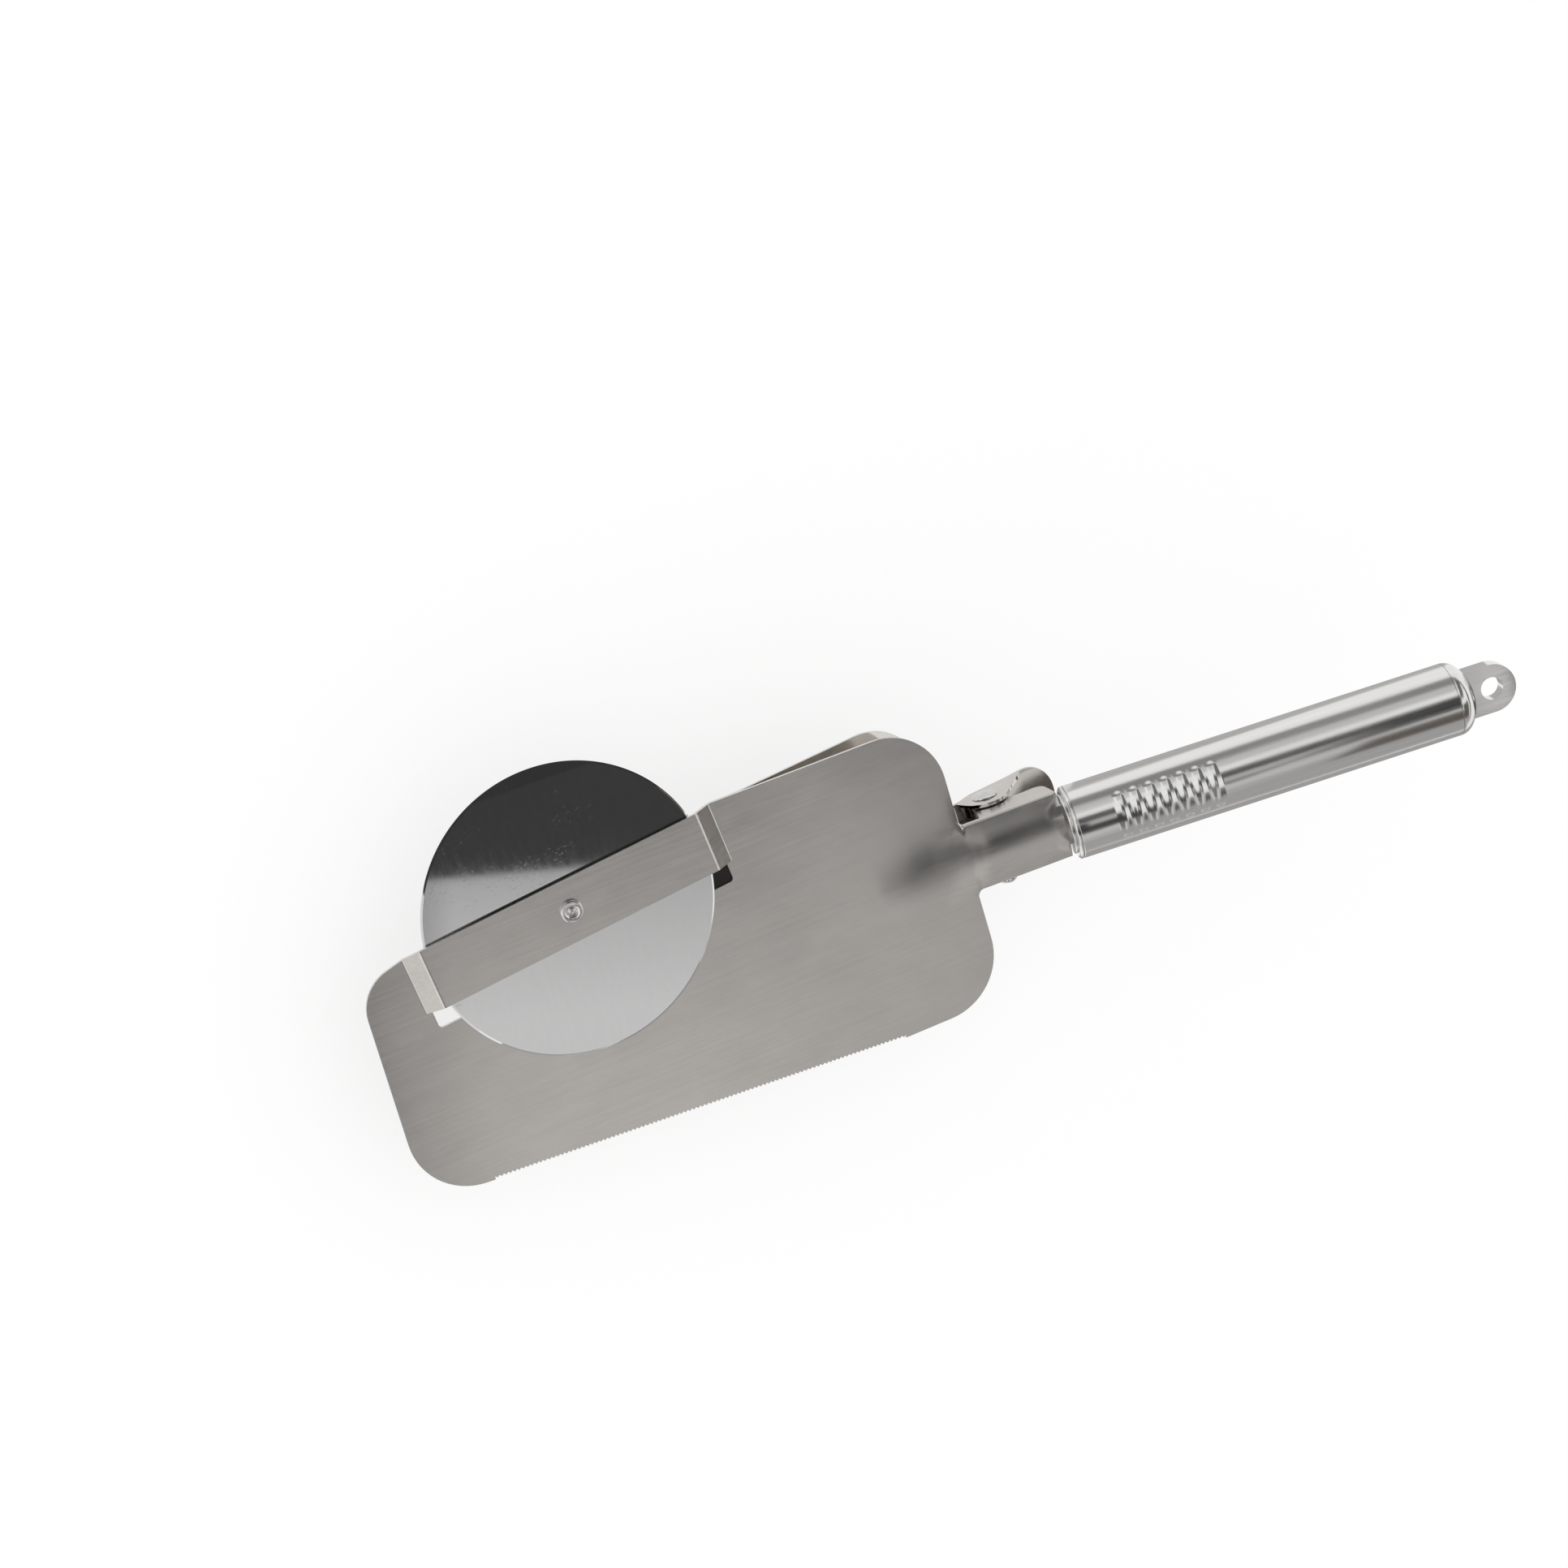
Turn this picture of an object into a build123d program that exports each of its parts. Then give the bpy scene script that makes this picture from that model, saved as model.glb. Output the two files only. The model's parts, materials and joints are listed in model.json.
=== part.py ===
from build123d import *

import math
import os

# A hand tool that cuts, lifts and grips: a serving blade with a saw edge, a cutting wheel under a
# strap that is lanced out of the blade, a sprung clamp jaw behind the blade and a tube handle.
# The pieces are modelled in the tool's own frame: the hinge axis of the jaw is the Y axis at
# x = 0, +X runs to the handle, +Y to the wheel's side, +Z to the front, and z = 0 is the middle
# of the blade's sheet. At the end the tool is laid on its back on a table, z = 0.
# Lengths are in millimetres, angles in degrees.

# Sheet and fits
sheet = 1.0  # stainless sheet of the blade
jaw_sheet = 1.0
turn_fit = 0.06  # radial clearance where one piece turns on another
slip_fit = 0.04  # clearance where one piece is pushed into another and stays
side_play = 0.06  # space between flat faces that turn past each other
cut_over = 2.0  # how far a cutting shape passes the material

# Blade
blade_length = 159.3  # tip to rear edge on the middle line
blade_to_hinge = 12.7  # rear edge to hinge axis
top_half = 39.7  # middle line to the level part of the upper edge
level_length = 61.0  # level part of the upper edge
bottom_half = 39.1  # middle line to the level part of the lower edge
tip_bottom = 30.2  # middle line to the lower edge at the tip
tip_slant = 1.8  # tip edge against the square
nose_drop = 2.9  # upper edge at the tip below the line of the strap
rear_drop = 0.7  # upper edge at the rear below its level
tip_top_radius = 11.0
tip_bottom_radius = 16.5
rear_top_radius = 16.1
rear_bottom_radius = 16.5

# Saw teeth of the lower edge
tooth_pitch = 1.15
tooth_depth = 0.5
tooth_recess = 0.35  # tooth points lie this far inside the plain edge
teeth_from_rear = 29.8  # rear edge to the first tooth, where the lower edge starts to taper
teeth_from_tip = 17.0

# Cutting wheel, strap and axle
wheel_diameter = 75.0
wheel_thickness = 0.8
wheel_bevel = 0.5  # width of the ground bevel on each face
wheel_edge = 0.16  # thickness left at the rim
wheel_gap = 0.3  # blade to wheel
wheel_end_room = 0.6  # rim to the strap's inner bends
axle_from_rear = 103.0  # rear edge to axle
axle_from_top = 8.2  # strap's upper edge to axle
strap_angle = 5.2  # strap against the middle line
strap_width = 16.1
strap_run = 4.3  # length of each sloping end
strap_bend = 1.5  # bend radius at the middle of the sheet
strap_lap = 1.0  # the strap's flat ends run this far into the blade
slot_gap = 5.0  # opening left below the strap
slot_inset = 1.3  # opening's ends inside the strap's ends
slot_radius = 1.0
axle_diameter = 4.0
axle_head_diameter = 6.0
axle_head_height = 1.1
axle_dimple_diameter = 3.2
axle_dimple_depth = 0.55
axle_end_diameter = 6.0
axle_end_height = 0.9
bush_wall = 1.0
front_washer_thickness = 0.3
rear_washer_thickness = 0.4
wheel_washer_diameter = 9.6

# Neck of the blade
neck_half = 9.2  # half height of the channel, outside
neck_end = 14.2  # end of the channel behind the hinge axis
neck_slope = 5.0
neck_crown = 1.4  # arch of the channel's front wall
neck_bend = 0.7  # rounding along the two creases
emboss_length = 9.0  # length of the arch that fades out in the blade
least_arch = 0.03  # arch that is left where the emboss ends
relief = 1.6  # rounding between rear edge and neck
ear_front = 6.8  # ear's front edge ahead of the hinge axis
ear_depth = 6.3  # blade's plane to the ear's rear edge
ear_lobe = 3.6  # ear radius round the hinge
ear_waist = 8.0  # width of the ear's root behind the hinge axis
ear_corner = 2.5
tang_width = 11.0
tang_length = 22.0
tang_root = 2.0  # the tang runs back into the channel's front wall

# Clamp jaw
jaw_length = 66.6  # front edge to rear edge
jaw_to_hinge = 13.6  # rear edge to hinge axis
jaw_inset = 0.2  # jaw edge inside the blade's edge
lip_length = 14.0  # front strip that lies flat on the blade
seat_gap = 0.06  # closed jaw to blade
tail_slope = 16.0
tail_room = 0.75  # hinge washers' rim to the tongue's inner face
tail_from_hinge = 8.2  # the bend ahead of the hinge where the tail's slope starts
tail_length = 23.1  # hinge axis to the end of the tongue
tail_corner = 8.5
jaw_bend = 4.0
jaw_front_radius = 8.0
jaw_rear_radius = 16.5
jaw_root_radius = 3.0  # rounding between jaw plate and its neck
jaw_lobe = 6.2  # ear radius round the hinge
jaw_ear_front = 7.5  # ear's foot ahead of the hinge
jaw_ear_rear = 14.6  # ear's foot behind the hinge

# Hinge and spring
hinge_depth = 10.9  # hinge axis behind the blade's plane
hinge_diameter = 3.0
hinge_head_diameter = 6.8
hinge_head_height = 1.0
hinge_end_diameter = 4.8
hinge_end_length = 3.8
hinge_end_dome = 1.2
hinge_washer_thickness = 0.25
hinge_washer_diameter = 6.8
sleeve_wall = 0.45
wire_diameter = 0.9
coil_clearance = 0.25  # sleeve to coil
coil_turns = 6
coil_pitch = 1.05
front_leg_length = 16.0
rear_leg_length = 12.0
leg_gap = 0.05  # leg's end to the wall it presses on

# Handle
grip_angle = 12.0  # handle's axis against the blade's plane
tube_diameter = 19.6
tube_wall = 0.8
tube_length = 104.0
boss_diameter = 16.4
boss_gap = 0.15  # neck's end to the front cap
dome_length = 1.5
rim_length = 0.4
spigot_length = 12.0
pin_diameter = 2.5
pin_from_rim = 6.0
pin_short = 0.3  # pin's ends below the spigot's surface
rib_count = 7
rib_pitch = 4.2
first_rib = 12.0  # front end of the tube to the first rib
rib_bead = 2.15  # radius of a rib's round section
rib_height = 0.4
rib_half_angle = 29.0
rib_roll = 5.0  # the ribs' middle is turned this far to the wheel's side
end_dome_length = 6.0
lug_length = 11.0  # end cap's dome to the middle of the hanging hole
lug_width = 13.0
lug_thickness = 4.0
hang_hole_diameter = 6.0

# Places along the tool
rear_x = -blade_to_hinge
tip_x = rear_x - blade_length
level_x = rear_x - level_length
saw_x = rear_x - teeth_from_rear
axle_x = rear_x - axle_from_rear
tip_bottom_x = tip_x - tip_bottom * math.tan(math.radians(tip_slant))
saw_tilt = math.atan2(bottom_half - tip_bottom, saw_x - tip_bottom_x)
ears_x = -ear_front
hinge_z = -hinge_depth
jaw_rear_x = -jaw_to_hinge
jaw_front_x = jaw_rear_x - jaw_length
lip_x = jaw_front_x + lip_length

# Heights of the wheel's stack above the blade's plane
half_sheet = sheet / 2
half_jaw = jaw_sheet / 2
wheel_back_z = half_sheet + wheel_gap
wheel_front_z = wheel_back_z + wheel_thickness
wheel_z = (wheel_back_z + wheel_front_z) / 2
bush_back_z = wheel_back_z - side_play
bush_front_z = wheel_front_z + side_play
strap_back_z = bush_front_z + front_washer_thickness
strap_z = strap_back_z + half_sheet
strap_front_z = strap_back_z + sheet
axle_end_z = bush_back_z - rear_washer_thickness

# Radii that fit each other
axle_radius = axle_diameter / 2
bush_radius = axle_radius + slip_fit + bush_wall
hinge_radius = hinge_diameter / 2
sleeve_radius = hinge_radius + slip_fit + sleeve_wall
coil_radius = sleeve_radius + coil_clearance + wire_diameter / 2
tube_radius = tube_diameter / 2
bore_radius = tube_radius - tube_wall
spigot_radius = bore_radius - slip_fit

# Heights of the jaw's sheet: lip, tongue under the hinge axis and the bend between plate and tongue
lip_z = -half_sheet - seat_gap - half_jaw
tail_fall = math.tan(math.radians(tail_slope))
tail_wall = hinge_washer_diameter / 2 + tail_room
tail_z = hinge_z - (tail_wall + half_jaw) / math.cos(math.radians(tail_slope))
tail_bend_z = tail_z + tail_from_hinge * tail_fall
jaw_fall = (lip_z - tail_bend_z) / (-tail_from_hinge - lip_x)

# Half widths of the two nested neck channels
jaw_ear_inside = neck_half + hinge_washer_thickness + side_play
jaw_neck_half = jaw_ear_inside + jaw_sheet
hinge_head_y = jaw_neck_half + side_play


def rise(x, start, end):
    """Smooth step from 0 at start to 1 at end."""
    t = min(max((x - start) / (end - start), 0.0), 1.0)
    return t * t * (3 - 2 * t)


def crease_z(x):
    """Height of the neck's two creases above the blade's plane."""
    return max(x - rear_x, 0.0) * math.tan(math.radians(neck_slope))


def crest_z(x):
    """Height of the neck's middle line above the blade's plane."""
    arch = least_arch + (neck_crown - least_arch) * rise(x, rear_x - emboss_length, ears_x)
    return crease_z(x) + arch


def strap_edge(x):
    """Line of the strap's upper edge, which ends at the level part of the blade's upper edge."""
    return top_half - (level_x - x) * math.tan(math.radians(strap_angle))


def bottom_y(x):
    """Plain lower edge of the blade, below the middle line."""
    return -bottom_half + max(saw_x - x, 0.0) * math.tan(saw_tilt)


def jaw_z(x):
    """Middle of the jaw's sheet, from its front lip to the end of its tongue."""
    if x > -tail_from_hinge:
        return tail_z - x * tail_fall
    return lip_z - max(x - lip_x, 0.0) * jaw_fall


def across(x):
    """Plane square to the tool's length: Y to the right, Z up."""
    return Plane(origin=(x, 0, 0), x_dir=(0, 1, 0), z_dir=(1, 0, 0))


def side(y):
    """Plane along the tool at width y: X to the right, Z up, facing -Y."""
    return Plane.XZ.offset(-y)


def ball_radius(half, height):
    """Radius of the ball that a round head is the top of."""
    return (half**2 + height**2) / (2 * height)


def pick(sketch, x, y):
    """The corner of a sketch that lies nearest to x, y."""
    return sketch.vertices().sort_by_distance((x, y, 0))[0]


# Frames of the strap and of the handle
strap_tilt = math.radians(strap_angle)
axle_y = strap_edge(axle_x) - axle_from_top / math.cos(strap_tilt)
strap_middle = axle_from_top - strap_width / 2
strap_flat = wheel_diameter / 2 + wheel_end_room
strap_half = strap_flat + strap_run
strap_along = (math.cos(strap_tilt), math.sin(strap_tilt), 0)
strap_top = Plane(origin=(axle_x, axle_y, 0), x_dir=strap_along, z_dir=(0, 0, 1))
strap_side = Plane(origin=strap_top.from_local_coords((0, strap_middle, 0)), x_dir=strap_along,
                   z_dir=(math.sin(strap_tilt), -math.cos(strap_tilt), 0))
nose_x = axle_x - strap_flat
tip_top = strap_edge(tip_x) - nose_drop
tip_top_x = tip_x + tip_top * math.tan(math.radians(tip_slant))
axle_section = Plane(origin=(axle_x, axle_y, 0), x_dir=(1, 0, 0), z_dir=(0, -1, 0))
axle_axis = Axis((axle_x, axle_y, 0), (0, 0, 1))

grip_tilt = math.radians(grip_angle)
grip_along = (math.cos(grip_tilt), 0, math.sin(grip_tilt))
grip_front = (-math.sin(grip_tilt), 0, math.cos(grip_tilt))
arch_radius = (neck_half**2 + neck_crown**2) / (2 * neck_crown)


def arch_z(x, y):
    """Middle of the neck's arched front wall at width y."""
    return crease_z(x) + neck_crown - arch_radius + math.sqrt(arch_radius**2 - y**2)


grip_z = (arch_z(neck_end, 0) + arch_z(neck_end, tang_width / 2)) / 2
grip = Plane(origin=(neck_end, 0, grip_z), x_dir=(0, 1, 0), z_dir=grip_along)
grip_section = Plane(origin=grip.origin, x_dir=grip_front, z_dir=(0, 1, 0))
grip_axis = Axis(grip.origin, grip_along)
rim_start = boss_gap + dome_length
tube_start = rim_start + rim_length
tube_end = tube_start + tube_length
pin_place = tube_start + pin_from_rim
pin_plane = Plane(origin=grip.from_local_coords((0, 0, pin_place)), x_dir=(0, 1, 0), z_dir=grip_front)


def neck_section(x, half):
    """One arched section of the neck's front wall."""
    with BuildSketch(across(x)) as section:
        with BuildLine():
            outer = ThreePointArc((-half, crease_z(x) + half_sheet), (0, crest_z(x) + half_sheet),
                                  (half, crease_z(x) + half_sheet))
            Line(outer @ 1, (half, crease_z(x) - half_sheet))
            inner = ThreePointArc((half, crease_z(x) - half_sheet), (0, crest_z(x) - half_sheet),
                                  (-half, crease_z(x) - half_sheet))
            Line(inner @ 1, outer @ 0)
        make_face()
    return section.sketch


def saw_points():
    """Outline of the strip that is ground out of the lower edge, with the teeth as its inner side."""
    edge_length = (blade_length - teeth_from_rear - teeth_from_tip) / math.cos(saw_tilt)
    count = int(edge_length / tooth_pitch)

    def place(along, inside):
        x = saw_x - along * math.cos(saw_tilt)
        y = -bottom_half + along * math.sin(saw_tilt)
        return (x + inside * math.sin(saw_tilt), y + inside * math.cos(saw_tilt))

    points = [place(0, -cut_over), place(0, tooth_recess + tooth_depth)]
    for tooth in range(count):
        points.append(place((tooth + 0.5) * tooth_pitch, tooth_recess))
        points.append(place((tooth + 1) * tooth_pitch, tooth_recess + tooth_depth))
    points.append(place(count * tooth_pitch, -cut_over))
    return points


# Serving blade: flat blade with saw edge, strap, embossed neck with two ears, and tang
with BuildPart() as blade:
    with BuildSketch(Plane.XY.offset(-half_sheet)) as outline:
        with BuildLine():
            Polyline((tip_bottom_x, -tip_bottom), (tip_top_x, tip_top), (nose_x, strap_edge(nose_x)),
                     (level_x, top_half), (rear_x, top_half - rear_drop), (rear_x, -bottom_half),
                     (saw_x, -bottom_half), close=True)
        make_face()
        fillet(pick(outline, tip_top_x, tip_top), tip_top_radius)
        fillet(pick(outline, tip_bottom_x, -tip_bottom), tip_bottom_radius)
        fillet(pick(outline, rear_x, top_half), rear_top_radius)
        fillet(pick(outline, rear_x, -bottom_half), rear_bottom_radius)
        with BuildLine():
            Polyline(*saw_points(), close=True)
        make_face(mode=Mode.SUBTRACT)
        with Locations((rear_x - emboss_length / 2, 0)):
            Rectangle(emboss_length, 2 * (neck_half + relief), mode=Mode.SUBTRACT)
    extrude(amount=sheet)

    strap_low = axle_from_top - strap_width
    window_top = axle_from_top + cut_over
    with BuildSketch(strap_top) as window:
        with Locations((0, (window_top + strap_low) / 2)):
            Rectangle(2 * strap_half, window_top - strap_low)
        with Locations((0, strap_low - slot_gap / 2)):
            Rectangle(2 * (strap_half - slot_inset), slot_gap)
        fillet(window.vertices().group_by(Axis.Y)[0], slot_radius)
    extrude(amount=sheet, both=True, mode=Mode.SUBTRACT)

    with BuildSketch(strap_side):
        with BuildLine():
            FilletPolyline((-strap_half - strap_lap, 0), (-strap_half, 0), (-strap_flat, strap_z),
                           (strap_flat, strap_z), (strap_half, 0), (strap_half + strap_lap, 0),
                           radius=strap_bend)
        trace(line_width=sheet)
    extrude(amount=strap_width / 2, both=True)
    with BuildSketch(Plane.XY.offset(-sheet)):
        with BuildLine():
            past_tip = 2 * tip_top_x - nose_x
            Polyline((nose_x, strap_edge(nose_x)), (past_tip, 2 * tip_top - strap_edge(nose_x)),
                     (past_tip, top_half), (nose_x, top_half), close=True)
        make_face()
    extrude(amount=strap_front_z + sheet + cut_over, mode=Mode.SUBTRACT)
    with BuildSketch(strap_top):
        Circle(axle_radius + slip_fit)
    extrude(amount=strap_front_z + cut_over, mode=Mode.SUBTRACT)

    fade = [rear_x - emboss_length * step / 3 for step in (3, 2, 1, 0)]
    add(loft([neck_section(x, neck_half + relief) for x in fade], mode=Mode.PRIVATE))
    root = [neck_section(rear_x + relief * t, neck_half + relief * (1 - t) ** 2)
            for t in (0, 0.3, 0.6, 1)]
    add(loft(root, mode=Mode.PRIVATE))
    neck_root = rear_x + relief
    channel = [neck_section(neck_root + (neck_end - neck_root) * step / 6, neck_half) for step in range(7)]
    add(loft(channel, mode=Mode.PRIVATE))

    for ear_y in (neck_half, sheet - neck_half):
        with BuildSketch(side(ear_y)) as ear:
            with BuildLine():
                CenterArc((0, hinge_z), ear_lobe, 0, 360)
                Line((ears_x, crease_z(ears_x)), (ear_waist, crease_z(ear_waist)))
            make_hull()
            with BuildLine():
                Polyline((ears_x, crease_z(ears_x)), (neck_end, crease_z(neck_end)),
                         (neck_end, -ear_depth), (0, -ear_depth), close=True)
            make_face()
            fillet(pick(ear, neck_end, -ear_depth), ear_corner)
            fillet(pick(ear, ear_lobe, -ear_depth), ear_corner)
            with Locations((0, hinge_z)):
                Circle(hinge_radius + slip_fit, mode=Mode.SUBTRACT)
        extrude(amount=sheet)
    creases = [edge for edge in blade.edges()
               if edge.length > ear_front and abs(abs(edge.center().Y) - neck_half) < slip_fit
               and abs(edge.center().Z - crease_z(edge.center().X) - half_sheet) < slip_fit]
    fillet(creases, neck_bend)

    with BuildSketch(grip.offset(-tang_root)):
        Rectangle(tang_width, sheet)
    extrude(amount=tang_root + tang_length)
    with BuildSketch(pin_plane):
        Circle(pin_diameter / 2 + slip_fit)
    extrude(amount=sheet, both=True, mode=Mode.SUBTRACT)
blade.part.label = "serving_blade"

# Cutting wheel: flat disc with both faces ground to an edge
with BuildPart() as wheel:
    with BuildSketch(axle_section):
        with BuildLine():
            rim = wheel_diameter / 2
            bore = bush_radius + turn_fit
            Polyline((bore, wheel_back_z), (rim - wheel_bevel, wheel_back_z),
                     (rim, wheel_z - wheel_edge / 2), (rim, wheel_z + wheel_edge / 2),
                     (rim - wheel_bevel, wheel_front_z), (bore, wheel_front_z), close=True)
        make_face()
    revolve(axis=axle_axis)
wheel.part.label = "cutting_wheel"

# Bush that the wheel turns on, clamped by the rivet between the two washers
with BuildPart() as bush:
    with BuildSketch(strap_top.offset(bush_back_z)):
        Circle(bush_radius)
        Circle(axle_radius + slip_fit, mode=Mode.SUBTRACT)
    extrude(amount=bush_front_z - bush_back_z)
bush.part.label = "wheel_bush"

with BuildPart() as front_washer:
    with BuildSketch(strap_top.offset(bush_front_z)):
        Circle(wheel_washer_diameter / 2)
        Circle(axle_radius + slip_fit, mode=Mode.SUBTRACT)
    extrude(amount=front_washer_thickness)
front_washer.part.label = "front_washer"

with BuildPart() as rear_washer:
    with BuildSketch(strap_top.offset(axle_end_z)):
        Circle(wheel_washer_diameter / 2)
        Circle(axle_radius + slip_fit, mode=Mode.SUBTRACT)
    extrude(amount=rear_washer_thickness)
rear_washer.part.label = "rear_washer"

# Axle rivet: dimpled round head in front of the strap, closed end behind the rear washer
with BuildPart() as axle:
    with BuildSketch(axle_section):
        with BuildLine():
            head_z = strap_front_z + axle_head_height
            dimple = axle_dimple_diameter / 2
            head = axle_head_diameter / 2
            closed = axle_end_diameter / 2
            EllipticalCenterArc((0, head_z), dimple, axle_dimple_depth, start_angle=270, arc_size=90)
            EllipticalCenterArc((dimple, strap_front_z), head - dimple, axle_head_height,
                                start_angle=0, arc_size=90)
            Polyline((head, strap_front_z), (axle_radius, strap_front_z), (axle_radius, axle_end_z),
                     (closed, axle_end_z))
            RadiusArc((closed, axle_end_z), (0, axle_end_z - axle_end_height),
                      ball_radius(closed, axle_end_height))
            Line((0, axle_end_z - axle_end_height), (0, head_z - axle_dimple_depth))
        make_face()
    revolve(axis=axle_axis)
axle.part.label = "axle_rivet"

# Clamp jaw: bent plate cut to its outline, with two ears outside the blade's ears
with BuildPart() as jaw:
    with BuildSketch(Plane.XZ):
        with BuildLine():
            past_tail = tail_length + cut_over
            FilletPolyline((jaw_front_x - cut_over, jaw_z(jaw_front_x)), (lip_x, jaw_z(lip_x)),
                           (-tail_from_hinge, jaw_z(-tail_from_hinge)), (past_tail, jaw_z(past_tail)),
                           radius=jaw_bend)
        trace(line_width=jaw_sheet)
    extrude(amount=top_half + cut_over, both=True)
    with BuildSketch(Plane.XY.offset(jaw_z(past_tail) - cut_over)) as plan:
        jaw_top = top_half - jaw_inset
        front_low = bottom_y(jaw_front_x) + tooth_recess + tooth_depth + jaw_inset
        rear_low = bottom_y(jaw_rear_x) + tooth_recess + tooth_depth + jaw_inset
        with BuildLine():
            Polyline((jaw_front_x, front_low), (jaw_front_x, jaw_top), (jaw_rear_x, jaw_top),
                     (jaw_rear_x, rear_low), close=True)
        make_face()
        fillet([pick(plan, jaw_front_x, jaw_top), pick(plan, jaw_front_x, front_low)], jaw_front_radius)
        fillet([pick(plan, jaw_rear_x, jaw_top), pick(plan, jaw_rear_x, rear_low)], jaw_rear_radius)
        with Locations(((jaw_rear_x + tail_length) / 2, 0)):
            Rectangle(tail_length - jaw_rear_x, 2 * jaw_neck_half)
        fillet([pick(plan, tail_length, jaw_neck_half), pick(plan, tail_length, -jaw_neck_half)],
               tail_corner)
        fillet([pick(plan, jaw_rear_x, jaw_neck_half), pick(plan, jaw_rear_x, -jaw_neck_half)],
               jaw_root_radius)
    extrude(amount=-jaw_z(past_tail) + 2 * cut_over, mode=Mode.INTERSECT)

    for ear_y in (jaw_neck_half, -jaw_ear_inside):
        with BuildSketch(side(ear_y)):
            with BuildLine():
                CenterArc((0, hinge_z), jaw_lobe, 0, 360)
                Line((-jaw_ear_front, jaw_z(-jaw_ear_front)), (jaw_ear_rear, jaw_z(jaw_ear_rear)))
            make_hull()
            with Locations((0, hinge_z)):
                Circle(hinge_radius + turn_fit, mode=Mode.SUBTRACT)
        extrude(amount=jaw_sheet)
jaw.part.label = "clamp_jaw"

# Hinge rivet: low round head above, longer closed end below
hinge_section = Plane(origin=(0, 0, hinge_z), x_dir=(1, 0, 0), z_dir=(0, 0, 1))
hinge_axis = Axis((0, 0, hinge_z), (0, 1, 0))
with BuildPart() as hinge:
    with BuildSketch(hinge_section):
        with BuildLine():
            head = hinge_head_diameter / 2
            closed = hinge_end_diameter / 2
            end_y = -hinge_head_y - hinge_end_length
            RadiusArc((head, hinge_head_y), (0, hinge_head_y + hinge_head_height),
                      -ball_radius(head, hinge_head_height))
            Polyline((head, hinge_head_y), (hinge_radius, hinge_head_y), (hinge_radius, -hinge_head_y),
                     (closed, -hinge_head_y), (closed, end_y + hinge_end_dome))
            RadiusArc((closed, end_y + hinge_end_dome), (0, end_y), ball_radius(closed, hinge_end_dome))
            Line((0, end_y), (0, hinge_head_y + hinge_head_height))
        make_face()
    revolve(axis=hinge_axis)
hinge.part.label = "hinge_rivet"

with BuildPart() as hinge_washers:
    for washer_y in (neck_half + hinge_washer_thickness, -neck_half):
        with BuildSketch(side(washer_y)):
            with Locations((0, hinge_z)):
                Circle(hinge_washer_diameter / 2)
                Circle(hinge_radius + slip_fit, mode=Mode.SUBTRACT)
        extrude(amount=hinge_washer_thickness)
hinge_washers.part.label = "hinge_washers"

with BuildPart() as sleeve:
    with BuildSketch(side(0)):
        with Locations((0, hinge_z)):
            Circle(sleeve_radius)
            Circle(hinge_radius + slip_fit, mode=Mode.SUBTRACT)
    extrude(amount=neck_half - sheet, both=True)
sleeve.part.label = "hinge_sleeve"


def leg_angle(wall_distance, length):
    """Angle between a tangent leg and the wall that its end presses on."""
    reach = wall_distance - wire_diameter / 2 - leg_gap
    to_end = math.asin(reach / math.hypot(coil_radius, length))
    return math.degrees(to_end - math.atan2(coil_radius, length))


# Torsion spring: coil round the sleeve, one leg under the neck's front wall, one on the tongue
coil_half = coil_pitch * (coil_turns + 0.5) / 2
front_wall = (arch_z(0, coil_half) - half_sheet - hinge_z) * math.cos(math.radians(neck_slope))
front_leg = neck_slope + leg_angle(front_wall, front_leg_length)
rear_leg = -tail_slope - leg_angle(tail_wall, rear_leg_length)
coil_angle = 360 * coil_turns + 180 + rear_leg - front_leg
coil_height = coil_pitch * coil_angle / 360
coil_start = math.radians(front_leg + 90)
coil_frame = Plane(origin=(0, coil_height / 2, hinge_z),
                   x_dir=(math.cos(coil_start), 0, math.sin(coil_start)), z_dir=(0, -1, 0))
with BuildPart() as spring:
    with BuildLine() as wire:
        coil = Helix(coil_pitch, coil_height, coil_radius)
        Line(coil @ 0 - (coil % 0) * front_leg_length, coil @ 0)
        Line(coil @ 1, coil @ 1 + (coil % 1) * rear_leg_length)
    wire_path = wire.wires()[0]
    with BuildSketch(Plane(origin=wire_path @ 0, z_dir=wire_path % 0)):
        Circle(wire_diameter / 2)
    sweep(path=wire_path)
spring.part.locate(coil_frame.location)
spring.part.label = "torsion_spring"

# Front cap: small boss, rounded shoulder and spigot, slotted for the tang
with BuildPart() as front_cap:
    with BuildSketch(grip_section):
        with BuildLine():
            boss = boss_diameter / 2
            spigot_end = tube_start + spigot_length
            Line((0, boss_gap), (boss, boss_gap))
            EllipticalCenterArc((boss, rim_start), tube_radius - boss, dome_length,
                                start_angle=270, arc_size=90)
            Polyline((tube_radius, rim_start), (tube_radius, tube_start), (spigot_radius, tube_start),
                     (spigot_radius, spigot_end), (0, spigot_end), (0, boss_gap))
        make_face()
    revolve(axis=grip_axis)
    with BuildSketch(grip):
        Rectangle(tang_width + 2 * slip_fit, sheet + 2 * slip_fit)
    extrude(amount=spigot_end + cut_over, mode=Mode.SUBTRACT)
    with BuildSketch(pin_plane):
        Circle(pin_diameter / 2 + slip_fit)
    extrude(amount=tube_radius, both=True, mode=Mode.SUBTRACT)
front_cap.part.label = "front_cap"

with BuildPart() as tang_pin:
    with BuildSketch(pin_plane):
        Circle(pin_diameter / 2)
    extrude(amount=spigot_radius - pin_short, both=True)
tang_pin.part.label = "tang_pin"

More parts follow.
